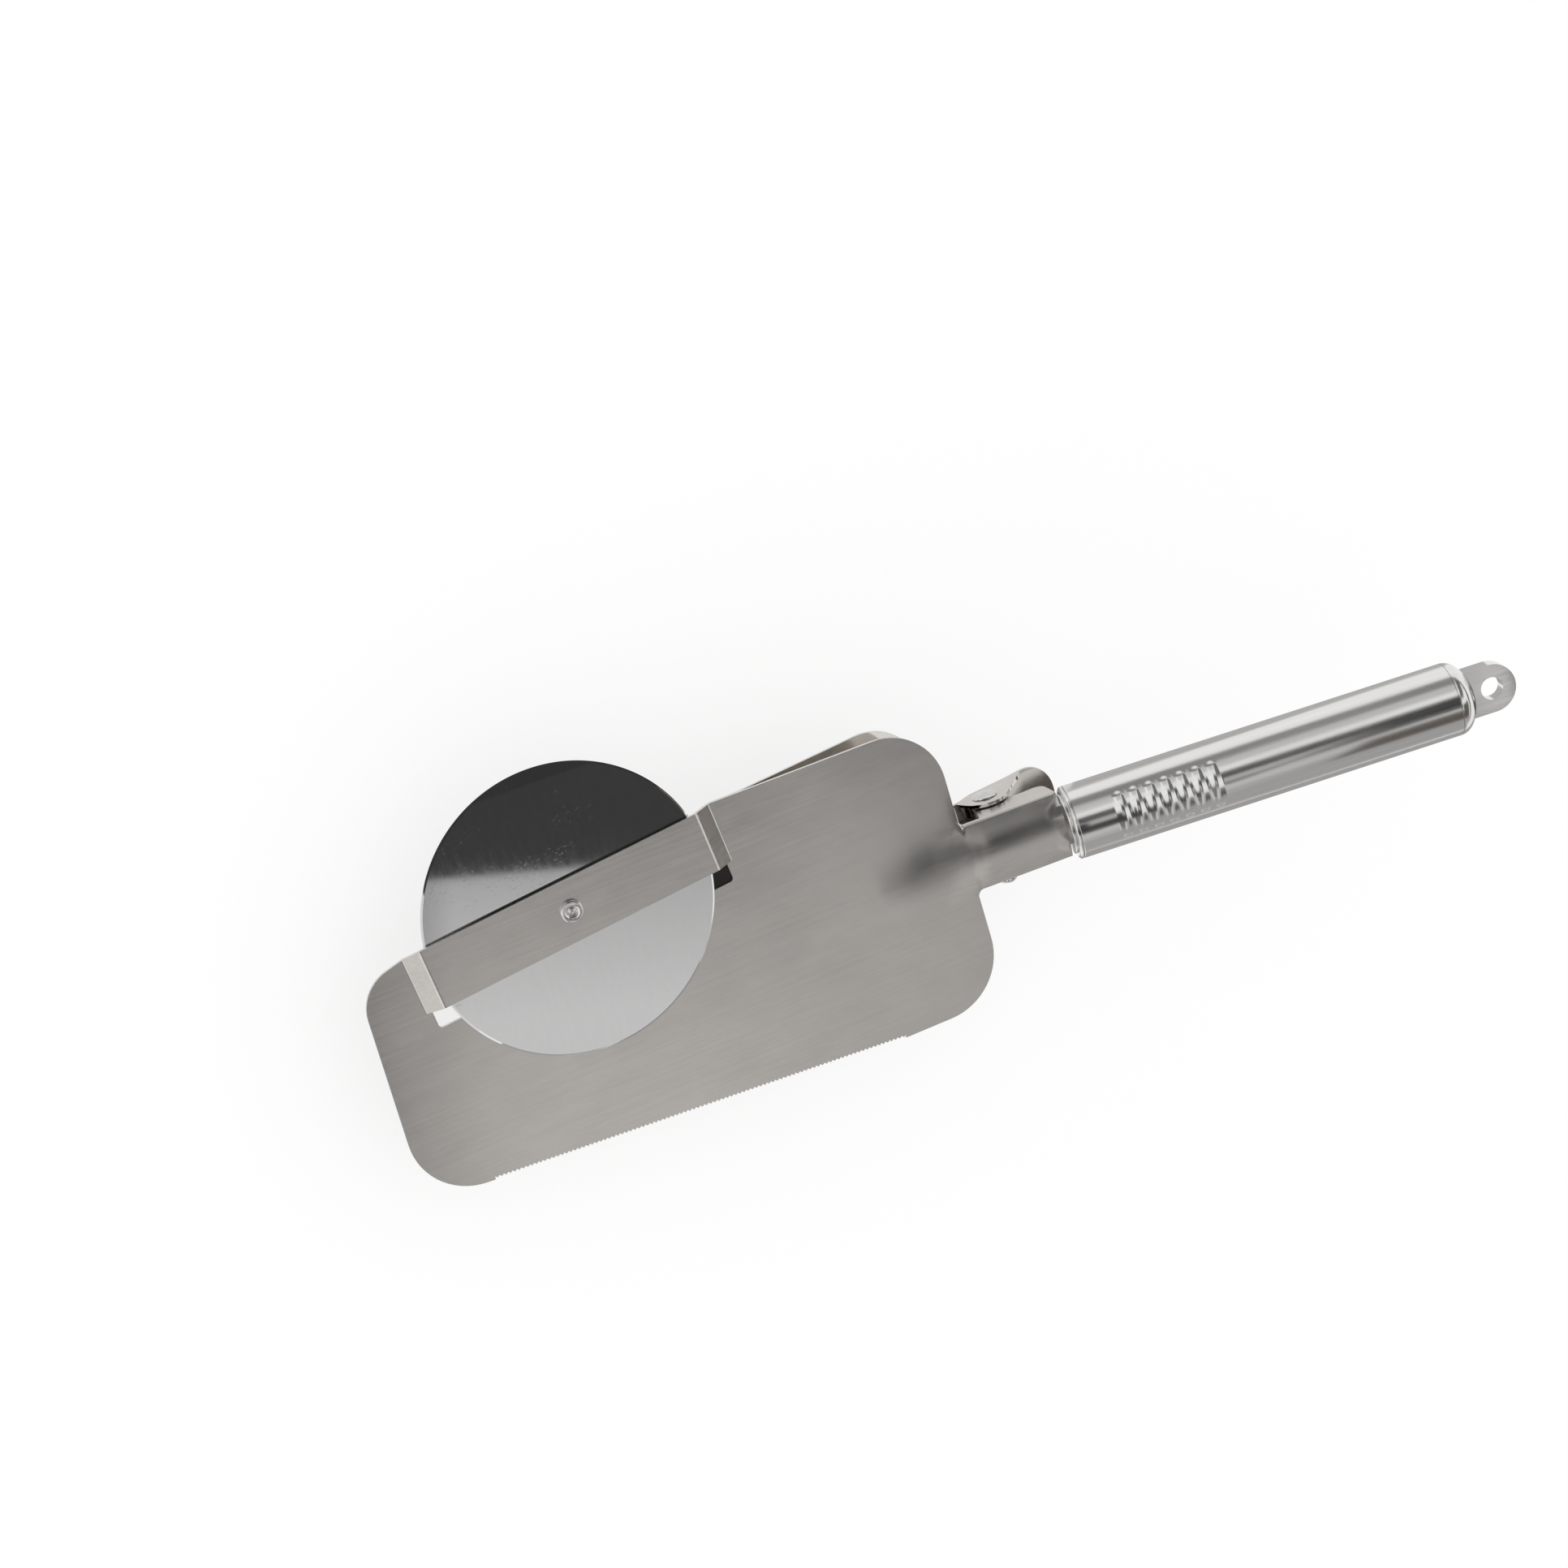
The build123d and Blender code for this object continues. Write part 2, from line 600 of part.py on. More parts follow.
# Handle tube with a row of embossed ribs on its front
with BuildPart() as tube:
    with BuildSketch(grip.offset(tube_start)):
        Circle(tube_radius)
    extrude(amount=tube_length)
    ring_radius = tube_radius + rib_height - rib_bead
    for rib in range(rib_count):
        rib_place = tube_start + first_rib + rib * rib_pitch
        ends = []
        for turn_angle in (rib_roll + rib_half_angle, rib_roll - rib_half_angle):
            turned = math.radians(turn_angle)
            ends.append(grip.from_local_coords((ring_radius * math.sin(turned),
                                                ring_radius * math.cos(turned), rib_place)))
        radial = ends[0] - grip.from_local_coords((0, 0, rib_place))
        with BuildSketch(Plane(origin=ends[0], x_dir=radial, z_dir=radial.cross(Vector(grip_along)))):
            Circle(rib_bead)
        revolve(axis=grip_axis, revolution_arc=2 * rib_half_angle)
        with Locations(*ends):
            Sphere(rib_bead)
    with BuildSketch(grip.offset(tube_start)):
        Circle(bore_radius)
    extrude(amount=tube_length, mode=Mode.SUBTRACT)
tube.part.label = "handle_tube"

# End cap: spigot, round dome and a flat lug with the hanging hole
with BuildPart() as end_cap:
    with BuildSketch(grip_section):
        with BuildLine():
            Polyline((0, tube_end - spigot_length), (spigot_radius, tube_end - spigot_length),
                     (spigot_radius, tube_end), (tube_radius, tube_end))
            EllipticalCenterArc((0, tube_end), tube_radius, end_dome_length, start_angle=0, arc_size=90)
            Line((0, tube_end + end_dome_length), (0, tube_end - spigot_length))
        make_face()
    revolve(axis=grip_axis)
    lug_plane = Plane(origin=grip.from_local_coords((0, 0, tube_end)), x_dir=grip_along, z_dir=grip_front)
    with BuildSketch(lug_plane):
        with Locations((lug_length / 2, 0)):
            Rectangle(lug_length, lug_width)
        with Locations((lug_length, 0)):
            Circle(lug_width / 2)
    extrude(amount=lug_thickness / 2, both=True)
    with BuildSketch(lug_plane):
        with Locations((lug_length, 0)):
            Circle(hang_hole_diameter / 2)
    extrude(amount=tube_radius, both=True, mode=Mode.SUBTRACT)
end_cap.part.label = "end_cap"

# Lay the tool on its back: the blade's tip and the end of the tongue both touch the table
tail_low = jaw_z(tail_length) - half_jaw / math.cos(math.radians(tail_slope))
rest_tilt = math.degrees(math.atan2(-half_sheet - tail_low, tail_length - tip_bottom_x))
pieces = [blade.part, wheel.part, bush.part, front_washer.part, rear_washer.part, axle.part, jaw.part,
          hinge.part, hinge_washers.part, sleeve.part, spring.part, front_cap.part, tang_pin.part,
          tube.part, end_cap.part]
tipped = Location((0, 0, 0), (0, -rest_tilt, 0))
box = Compound([piece.moved(tipped) for piece in pieces]).bounding_box()
rest = Location((-box.center().X, -box.center().Y, -box.min.Z)) * tipped

os.makedirs("parts", exist_ok=True)
for piece in pieces:
    export_step(piece.moved(rest), f"parts/{piece.label}.step")

# Places that a drawing would give, in the laid-down frame
places = {"hinge axis": (0, 0, hinge_z), "wheel axis": (axle_x, axle_y, wheel_z),
          "hanging hole": tuple(grip.from_local_coords((0, 0, tube_end + lug_length)))}
for name, place in places.items():
    print(name, tuple(round(value, 3) for value in (rest * Location(place)).position))
print("overall", box.size, "tilt", round(rest_tilt, 3))
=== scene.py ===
import json
import math

import bmesh
import bpy
from bpy.props import FloatProperty, FloatVectorProperty, IntProperty, PointerProperty
from mathutils import Euler, Matrix, Vector


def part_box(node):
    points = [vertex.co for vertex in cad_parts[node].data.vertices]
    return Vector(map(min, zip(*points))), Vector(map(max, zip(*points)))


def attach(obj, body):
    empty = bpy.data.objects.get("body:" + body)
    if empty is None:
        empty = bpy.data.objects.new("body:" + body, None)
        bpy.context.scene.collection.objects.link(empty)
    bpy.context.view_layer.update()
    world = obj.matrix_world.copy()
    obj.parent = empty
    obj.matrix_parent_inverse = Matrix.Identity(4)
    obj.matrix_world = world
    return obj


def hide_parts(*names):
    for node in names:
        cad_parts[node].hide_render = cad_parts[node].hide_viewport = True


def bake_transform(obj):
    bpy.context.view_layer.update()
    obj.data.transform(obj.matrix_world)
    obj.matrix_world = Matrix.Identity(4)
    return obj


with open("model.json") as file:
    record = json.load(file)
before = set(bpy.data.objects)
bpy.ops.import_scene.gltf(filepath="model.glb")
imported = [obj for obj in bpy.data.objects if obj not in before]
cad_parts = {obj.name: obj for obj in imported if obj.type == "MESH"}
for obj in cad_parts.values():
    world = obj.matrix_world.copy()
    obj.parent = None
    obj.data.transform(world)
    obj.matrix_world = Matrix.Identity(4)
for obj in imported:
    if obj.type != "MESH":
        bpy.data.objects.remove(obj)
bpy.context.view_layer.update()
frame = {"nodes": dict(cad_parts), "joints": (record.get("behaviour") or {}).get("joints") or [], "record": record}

bl_info = {
    "name": "Cutter and server",
    "version": (1, 0, 0),
    "blender": (4, 5, 0),
    "location": "View3D > Sidebar > Cutter",
    "description": "Dresses the packed cutter in brushed and polished steel and sets its studio",
    "category": "Object",
}

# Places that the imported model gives
JOINTS = {joint["name"]: joint for joint in frame["joints"]}
WHEEL_PLACE = Vector(JOINTS["wheel_spin"]["pos_m"])
BLADE_FRONT = Vector(JOINTS["wheel_spin"]["axis"]).normalized()
HINGE_PLACE = Vector(JOINTS["jaw_hinge"]["pos_m"])
HANG_HOLE = frame["record"]["mounts"][0]
GRIP_FRONT = Vector(HANG_HOLE["axis"]).normalized()
ACROSS = Vector((0.0, 1.0, 0.0))
BLADE_ALONG = ACROSS.cross(BLADE_FRONT)
GRIP_ALONG = ACROSS.cross(GRIP_FRONT)
BLADE_TILT = math.atan2(BLADE_ALONG.z, BLADE_ALONG.x)
GRIP_TILT = math.atan2(GRIP_ALONG.z, GRIP_ALONG.x)
MM = 0.001
WELD = 0.001 * MM  # points closer than this are one point
FINE_RELIEF = 0.02 * MM  # depth of brushing, drawing and turning marks
SOFT_RELIEF = 0.04 * MM  # depth of polish waves and scuffs
GRAIN_MAP = "grain"


def axes_matrix(x_axis, y_axis, z_axis, origin):
    """Matrix that takes a shape from its own axes to its place on the tool."""
    turned = Matrix((x_axis, y_axis, z_axis)).transposed().to_4x4()
    return Matrix.Translation(origin) @ turned


def handle_matrix():
    """Handle's own axes: width, front and length, from the front end of the tube."""
    low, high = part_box("handle_tube")
    radius = (high.y - low.y) / 2
    length = (high.x - low.x - 2 * radius * math.sin(GRIP_TILT)) / math.cos(GRIP_TILT)
    grip = bpy.context.scene.cutter_grip
    front_end = Vector(HANG_HOLE["pos_m"]) - GRIP_ALONG * (grip.lug_length + length)
    return axes_matrix(ACROSS, GRIP_FRONT, GRIP_ALONG, front_end), radius, length


class SheetSettings(bpy.types.PropertyGroup):
    """Brushed sheet of the blade and the jaw, and the spring between them"""
    colour: FloatVectorProperty(name="Sheet colour", description="Warm grey of the brushed steel",
                                subtype="COLOR", default=(0.67, 0.648, 0.618), min=0.0, max=1.0)
    roughness: FloatProperty(name="Sheet roughness", description="How satin the sheet is",
                             default=0.22, min=0.0, max=1.0)
    spread: FloatProperty(name="Sheen spread",
                          description="How far the sheen spreads across the brushing",
                          default=0.8, min=0.0, max=1.0)
    jaw_roughness: FloatProperty(name="Jaw roughness",
                                 description="How satin the jaw's bright rolled sheet is",
                                 default=0.09, min=0.0, max=1.0)
    rounding: FloatProperty(name="Edge rounding", description="Deburred width of the cut edges",
                            default=0.1 * MM, unit="LENGTH")
    coil_half: FloatProperty(name="Half coil",
                             description="Half of the length over which the spring's coil twists",
                             default=3.4 * MM, unit="LENGTH")


class WheelSettings(bpy.types.PropertyGroup):
    """Cutting wheel and its rivet"""
    colour: FloatVectorProperty(name="Wheel colour", description="Mirror polish of the disc",
                                subtype="COLOR", default=(0.77, 0.77, 0.775), min=0.0, max=1.0)
    thickness: FloatProperty(name="Disc thickness", description="Between the disc's flat faces",
                             default=0.8 * MM, unit="LENGTH")
    bevel: FloatProperty(name="Ground bevel", description="Width of the bevel that is ground on each face",
                         default=0.5 * MM, unit="LENGTH")
    edge: FloatProperty(name="Cutting edge", description="Thickness that is left at the rim",
                        default=0.16 * MM, unit="LENGTH")
    bore: FloatProperty(name="Bore radius", description="Radius of the hole that turns on the bush",
                        default=3.1 * MM, unit="LENGTH")
    head_seat: FloatProperty(name="Rivet seat", description="Middle of the disc to the strap's front face",
                             default=1.76 * MM, unit="LENGTH")
    head_radius: FloatProperty(name="Rivet head", description="Radius of the rivet's rolled head",
                               default=3.0 * MM, unit="LENGTH")
    head_height: FloatProperty(name="Rivet height", description="Height of the rivet's rolled head",
                               default=1.1 * MM, unit="LENGTH")


class GripSettings(bpy.types.PropertyGroup):
    """Polished handle"""
    colour: FloatVectorProperty(name="Handle colour", description="Polish of the tube and its caps",
                                subtype="COLOR", default=(0.77, 0.765, 0.755), min=0.0, max=1.0)
    roughness: FloatProperty(name="Handle roughness", description="How soft the polish is",
                             default=0.17, min=0.0, max=1.0)
    spread: FloatProperty(name="Handle sheen spread",
                          description="How far the sheen spreads round the tube",
                          default=0.7, min=0.0, max=1.0)
    lug_length: FloatProperty(name="Lug length", description="End of the tube to the hanging hole",
                              default=11.0 * MM, unit="LENGTH")
    wall: FloatProperty(name="Tube wall", description="Thickness of the tube's wall",
                        default=0.8 * MM, unit="LENGTH")
    rib_count: IntProperty(name="Ribs", description="Number of pressed ribs", default=7, min=0)
    rib_pitch: FloatProperty(name="Rib pitch", description="Between the middles of two ribs",
                             default=4.2 * MM, unit="LENGTH")
    first_rib: FloatProperty(name="First rib", description="Front end of the tube to the first rib",
                             default=12.0 * MM, unit="LENGTH")
    rib_height: FloatProperty(name="Rib height", description="How far a rib stands out of the tube",
                              default=0.4 * MM, unit="LENGTH")
    rib_half_angle: FloatProperty(name="Rib half angle", description="Half of a rib's turn round the tube",
                                  default=math.radians(29.0), unit="ROTATION")
    rib_roll: FloatProperty(name="Rib roll", description="How far the ribs are turned to the wheel's side",
                            default=math.radians(5.0), unit="ROTATION")


class StudioSettings(bpy.types.PropertyGroup):
    """Camera, floor and panels"""
    camera_place: FloatVectorProperty(name="Camera", description="From the hinge to the camera",
                                      subtype="TRANSLATION", default=(-0.315097, 0.256763, 0.678448))
    camera_turn: FloatVectorProperty(name="Camera turn", description="How the camera is turned",
                                     subtype="EULER", default=(math.radians(-9.726), math.radians(-25.126),
                                                               math.radians(-18.148)))
    lens: FloatProperty(name="Lens", description="Focal length in millimetres on a 36 mm sensor",
                        default=68.94, min=1.0)
    floor_colour: FloatVectorProperty(name="Floor colour", description="Pale floor", subtype="COLOR",
                                      default=(0.92, 0.92, 0.92), min=0.0, max=1.0)
    floor_half: FloatProperty(name="Half floor", description="Half of the floor's side",
                              default=6.0, unit="LENGTH")
    floor_white: FloatProperty(name="Floor white",
                               description="Share of the floor that is white without light",
                               default=0.6, min=0.0, max=1.0)
    world_strength: FloatProperty(name="World strength", description="Even white light from all round",
                                  default=1.0, min=0.0)
    lamp_power: FloatProperty(name="Lamp power", description="Watts of the soft lamp overhead",
                              default=4.0, min=0.0)
    lamp_side: FloatProperty(name="Lamp side", description="Side of the soft lamp overhead",
                             default=1.6, unit="LENGTH")
    lamp_place: FloatVectorProperty(name="Lamp place", description="Where the lamp hangs",
                                    subtype="TRANSLATION", default=(-0.35, 0.45, 1.5))


# Nodes of a finish
def new_finish(name):
    """A steel finish: its material, its links and its shader."""
    material = bpy.data.materials.new(name)
    material.use_nodes = True
    tree = material.node_tree
    tree.nodes.clear()
    shader = tree.nodes.new("ShaderNodeBsdfPrincipled")
    output = tree.nodes.new("ShaderNodeOutputMaterial")
    tree.links.new(shader.outputs["BSDF"], output.inputs["Surface"])
    shader.inputs["Metallic"].default_value = 1.0
    return material, tree, shader


def grain(tree, turn, scale, detail=3.0, roughness=0.6):
    """Noise stretched along the grain; turn is how far the grain leans up from the table."""
    place = tree.nodes.new("ShaderNodeTexCoord")
    mapping = tree.nodes.new("ShaderNodeMapping")
    mapping.vector_type = "TEXTURE"
    mapping.inputs["Rotation"].default_value = (0.0, -turn, 0.0)
    mapping.inputs["Scale"].default_value = [1 / stretch for stretch in scale]
    noise = tree.nodes.new("ShaderNodeTexNoise")
    noise.inputs["Scale"].default_value = 1.0
    noise.inputs["Detail"].default_value = detail
    noise.inputs["Roughness"].default_value = roughness
    tree.links.new(place.outputs["Object"], mapping.inputs["Vector"])
    tree.links.new(mapping.outputs["Vector"], noise.inputs["Vector"])
    return noise.outputs["Fac"]


def spread(tree, value, low, high, from_low=0.3, from_high=0.7):
    """A noise value as a range of roughness or tone."""
    node = tree.nodes.new("ShaderNodeMapRange")
    node.inputs["From Min"].default_value = from_low
    node.inputs["From Max"].default_value = from_high
    node.inputs["To Min"].default_value = low
    node.inputs["To Max"].default_value = high
    tree.links.new(value, node.inputs["Value"])
    return node.outputs["Result"]


def blended(tree, first, second, operation):
    """Two values joined by one operation."""
    node = tree.nodes.new("ShaderNodeMath")
    node.operation = operation
    for socket, value in zip(node.inputs, (first, second)):
        if isinstance(value, float):
            socket.default_value = value
        else:
            tree.links.new(value, socket)
    return node.outputs["Value"]


def tinted(tree, shader, value, dark, light):
    """Colour of the shader between two tones of steel."""
    mix = tree.nodes.new("ShaderNodeMix")
    mix.data_type = "RGBA"
    mix.inputs["A"].default_value = (*dark, 1.0)
    mix.inputs["B"].default_value = (*light, 1.0)
    tree.links.new(value, mix.inputs["Factor"])
    tree.links.new(mix.outputs["Result"], shader.inputs["Base Color"])


def bumped(tree, shader, value, strength, depth):
    """Relief of the surface, depth in metres."""
    bump = tree.nodes.new("ShaderNodeBump")
    bump.inputs["Strength"].default_value = strength
    bump.inputs["Distance"].default_value = depth
    tree.links.new(value, bump.inputs["Height"])
    tree.links.new(bump.outputs["Normal"], shader.inputs["Normal"])


def shaded(colour, factor):
    """A colour made darker or lighter."""
    return tuple(min(1.0, channel * factor) for channel in colour)


def combed(tree, shader, amount):
    """Sheen that spreads across the grain, which the grain map of a piece gives."""
    tangent = tree.nodes.new("ShaderNodeTangent")
    tangent.direction_type = "UV_MAP"
    tangent.uv_map = GRAIN_MAP
    tree.links.new(tangent.outputs["Tangent"], shader.inputs["Tangent"])
    shader.inputs["Anisotropic"].default_value = amount


def rolled_steel(name, roughness, sheen_spread, relief):
    """Rolled sheet: fine brushing along the blade, soft clouds and handling marks."""
    sheet = bpy.context.scene.cutter_sheet
    material, tree, shader = new_finish(name)
    combed(tree, shader, sheen_spread)
    strokes = grain(tree, BLADE_TILT, (40.0, 1400.0, 1400.0), detail=1.0)
    clouds = grain(tree, BLADE_TILT, (60.0, 95.0, 95.0), detail=5.0)
    tone = blended(tree, spread(tree, strokes, 0.0, 0.35), spread(tree, clouds, 0.0, 0.65), "ADD")
    tinted(tree, shader, tone, shaded(sheet.colour, 0.91), shaded(sheet.colour, 1.07))
    rough = blended(tree, spread(tree, strokes, 0.95, 1.05), spread(tree, clouds, 0.96, 1.04), "MULTIPLY")
    tree.links.new(blended(tree, rough, float(roughness), "MULTIPLY"), shader.inputs["Roughness"])
    bumped(tree, shader, strokes, relief, FINE_RELIEF)
    return material


def brushed_sheet():
    """Satin blade, brushed along its length."""
    sheet = bpy.context.scene.cutter_sheet
    return rolled_steel("brushed_sheet", sheet.roughness, sheet.spread, 0.03)


def bright_jaw():
    """Jaw of brighter rolled sheet, which mirrors more sharply than the blade."""
    sheet = bpy.context.scene.cutter_sheet
    return rolled_steel("bright_jaw", sheet.jaw_roughness, sheet.spread / 2, 0.01)


def polished_disc():
    """Mirror polish with faint rub marks, a few smears and fine specks."""
    wheel = bpy.context.scene.cutter_wheel
    material, tree, shader = new_finish("polished_disc")
    rubs = grain(tree, BLADE_TILT, (900.0, 180.0, 900.0), detail=5.0)
    smears = grain(tree, BLADE_TILT, (60.0, 90.0, 60.0), detail=6.0, roughness=0.7)
    dark, light = shaded(wheel.colour, 0.985), shaded(wheel.colour, 1.01)
    tinted(tree, shader, spread(tree, rubs, 0.0, 1.0), dark, light)
    specks = grain(tree, BLADE_TILT, (1100.0, 1500.0, 1100.0), detail=3.0)
    where = spread(tree, smears, 0.0, 1.0, 0.5, 0.7)
    marks = blended(tree, where, spread(tree, specks, 0.0, 0.2, 0.56, 0.76), "MULTIPLY")
    rough = blended(tree, marks, spread(tree, rubs, 0.035, 0.055), "ADD")
    tree.links.new(rough, shader.inputs["Roughness"])
    return material


def polished_tube():
    """Drawn and polished steel: fine lines along the handle that comb the reflections."""
    grip = bpy.context.scene.cutter_grip
    material, tree, shader = new_finish("polished_tube")
    lines = grain(tree, GRIP_TILT, (12.0, 900.0, 900.0), detail=4.0)
    waves = grain(tree, GRIP_TILT, (30.0, 160.0, 160.0), detail=2.0)
    dark, light = shaded(grip.colour, 0.95), shaded(grip.colour, 1.03)
    tinted(tree, shader, spread(tree, lines, 0.0, 1.0), dark, light)
    combed(tree, shader, grip.spread)
    rough = blended(tree, spread(tree, lines, -0.03, 0.03), spread(tree, waves, -0.02, 0.02), "ADD")
    tree.links.new(blended(tree, rough, float(grip.roughness), "ADD"), shader.inputs["Roughness"])
    relief = blended(tree, lines, blended(tree, waves, 1.5, "MULTIPLY"), "ADD")
    bumped(tree, shader, relief, 0.12, SOFT_RELIEF)
    return material


def bright_rivet():
    """Headed steel with the dull scuffs of the tool that closed it."""
    material, tree, shader = new_finish("rivet_steel")
    scuffs = grain(tree, BLADE_TILT, (700.0, 700.0, 700.0), detail=4.0)
    tinted(tree, shader, spread(tree, scuffs, 0.0, 1.0), (0.66, 0.655, 0.645), (0.78, 0.775, 0.765))
    tree.links.new(spread(tree, scuffs, 0.1, 0.24), shader.inputs["Roughness"])
    bumped(tree, shader, scuffs, 0.15, SOFT_RELIEF)
    return material


def drawn_wire():
    """Darker spring wire with drawing marks."""
    material, tree, shader = new_finish("spring_wire")
    marks = grain(tree, BLADE_TILT, (400.0, 2500.0, 400.0), detail=3.0)
    tinted(tree, shader, spread(tree, marks, 0.0, 1.0), (0.36, 0.355, 0.35), (0.5, 0.495, 0.485))
    tree.links.new(spread(tree, marks, 0.26, 0.4), shader.inputs["Roughness"])
    bumped(tree, shader, marks, 0.2, FINE_RELIEF)
    return material


def turned_brass():
    """Brass bush with the rings of the lathe."""
    material, tree, shader = new_finish("bush_brass")
    rings = grain(tree, BLADE_TILT, (300.0, 300.0, 6000.0), detail=2.0)
    tinted(tree, shader, spread(tree, rings, 0.0, 1.0), (0.66, 0.5, 0.27), (0.8, 0.64, 0.38))
    tree.links.new(spread(tree, rings, 0.22, 0.34), shader.inputs["Roughness"])
    bumped(tree, shader, rings, 0.2, FINE_RELIEF)
    return material


FINISHES = {"brushed_sheet": brushed_sheet, "bright_jaw": bright_jaw, "polished_disc": polished_disc,
            "polished_tube": polished_tube, "rivet_steel": bright_rivet, "spring_wire": drawn_wire,
            "bush_brass": turned_brass}


def finish(name):
    """The one material of a finish, made when it is first asked for."""
    key = "cutter_" + name
    found = bpy.data.materials.get(key)
    if found is None:
        found = FINISHES[name]()
        found.name = key
    return found


# Shapes
def lathe(profile, steps, matrix):
    """A turned piece: pairs of radius and height, closed on the axis or as a ring."""
    shape = bmesh.new()
    line = [shape.verts.new((radius, 0.0, height)) for radius, height in profile]
    edges = [shape.edges.new(pair) for pair in zip(line, line[1:])]
    bmesh.ops.spin(shape, geom=line + edges, cent=(0, 0, 0), axis=(0, 0, 1), dvec=(0, 0, 0),
                   angle=2 * math.pi, steps=steps, use_merge=True, use_duplicate=False)
    bmesh.ops.remove_doubles(shape, verts=shape.verts, dist=WELD / 10)
    bmesh.ops.recalc_face_normals(shape, faces=shape.faces)
    bmesh.ops.transform(shape, matrix=matrix, verts=shape.verts)
    return shape


def arc(centre, radius, start, end, steps):
    """Points of a round stretch of a profile; angles in degrees, radius as one value or as two."""
    wide, high = radius if isinstance(radius, tuple) else (radius, radius)
    turns = [math.radians(start + (end - start) * step / steps) for step in range(steps + 1)]
    return [(centre[0] + wide * math.cos(turn), centre[1] + high * math.sin(turn)) for turn in turns]


def map_grain(shape, grain_place):
    """UV map whose U runs across the grain and whose V runs along it."""
    layer = shape.loops.layers.uv.new(GRAIN_MAP)
    for face in shape.faces:
        for loop in face.loops:
            loop[layer].uv = grain_place(loop.vert.co)


def straight_grain(along, front):
    """Grain of a sheet or a drawn tube, lines that run along it."""
    return lambda point: (point.dot(ACROSS) + 0.37 * point.dot(front), point.dot(along))


def turned_grain(place):
    """Grain of a turned cap, lines that run round its axis."""
    to_own = place.inverted()

    def grain_place(point):
        own = to_own @ point
        return own.xy.length + 0.6 * own.z, 0.01 * math.atan2(own.x, own.y)

    return grain_place


def node_copy(node):
    """A copy of a solid's faces with their points merged."""
    shape = bmesh.new()
    shape.from_mesh(frame["nodes"][node].data)
    bmesh.ops.remove_doubles(shape, verts=shape.verts, dist=WELD)
    return shape


def sheet_copy(node, rounding, along, front):
    """A pressed sheet from its solid: flat faces joined, cut edges deburred."""
    flat_angle, cut_angle = math.radians(0.3), math.radians(50)
    shape = node_copy(node)
    bmesh.ops.dissolve_limit(shape, angle_limit=flat_angle, verts=shape.verts, edges=shape.edges)
    sharp = [edge for edge in shape.edges
             if len(edge.link_faces) == 2 and edge.calc_face_angle() > cut_angle]
    bmesh.ops.bevel(shape, geom=sharp, offset=rounding, offset_type="OFFSET", segments=2, profile=0.5,
                    affect="EDGES", clamp_overlap=True, material=-1)
    map_grain(shape, straight_grain(along, front))
    return shape


def add_piece(shape, name, slot, body, node, sharp_angle=30.0, look=None):
    """A piece from a finished shape: it stands for its node and rides on its body, if it has one."""
    mesh = bpy.data.meshes.new(name)
    shape.to_mesh(mesh)
    shape.free()
    for face in mesh.polygons:
        face.use_smooth = True
    mesh.set_sharp_from_angle(angle=math.radians(sharp_angle))
    mesh.materials.append(finish(look or slot))
    piece = bpy.data.objects.new(name, mesh)
    bpy.context.scene.collection.objects.link(piece)
    weighted = piece.modifiers.new("Weighted normals", "WEIGHTED_NORMAL")
    weighted.keep_sharp = True
    if body:
        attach(piece, body)
    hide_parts(node)
    return piece


class CUTTER_OT_sheets(bpy.types.Operator):
    """Serving blade and clamp jaw, pressed from brushed sheet"""
    bl_idname = "cutter.sheets"
    bl_label = "Blade and jaw"

    def execute(self, context):
        rounding = context.scene.cutter_sheet.rounding
        for node, name, body, look in (("serving_blade", "blade_sheet", "frame", "brushed_sheet"),
                                       ("clamp_jaw", "jaw_sheet", "jaw", "bright_jaw")):
            shape = sheet_copy(node, rounding, BLADE_ALONG, BLADE_FRONT)
            add_piece(shape, name, "brushed_sheet", body, node, look=look)
        return {"FINISHED"}


class CUTTER_OT_wheel(bpy.types.Operator):
    """Cutting wheel: a turned disc with a ground bevel on each face"""
    bl_idname = "cutter.wheel"
    bl_label = "Cutting wheel"

    def execute(self, context):
        wheel = context.scene.cutter_wheel
        low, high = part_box("cutting_wheel")
        rim = (high.y - low.y) / 2
        half, edge = wheel.thickness / 2, wheel.edge / 2
        break_edge = 0.08 * MM
        inner = rim - wheel.bevel
        profile = [(wheel.bore, -half + break_edge), (wheel.bore, half - break_edge),
                   (wheel.bore + break_edge, half), (inner, half),
                   (rim - break_edge, edge + break_edge / 4), (rim, edge / 2),
                   (rim, -edge / 2), (rim - break_edge, -edge - break_edge / 4),
                   (inner, -half), (wheel.bore + break_edge, -half), (wheel.bore, -half + break_edge)]
        place = axes_matrix(BLADE_ALONG, ACROSS, BLADE_FRONT, WHEEL_PLACE)
        disc = lathe(profile, 256, place)
        add_piece(disc, "wheel_disc", "polished_disc", "wheel", "cutting_wheel", sharp_angle=8.0)
        return {"FINISHED"}


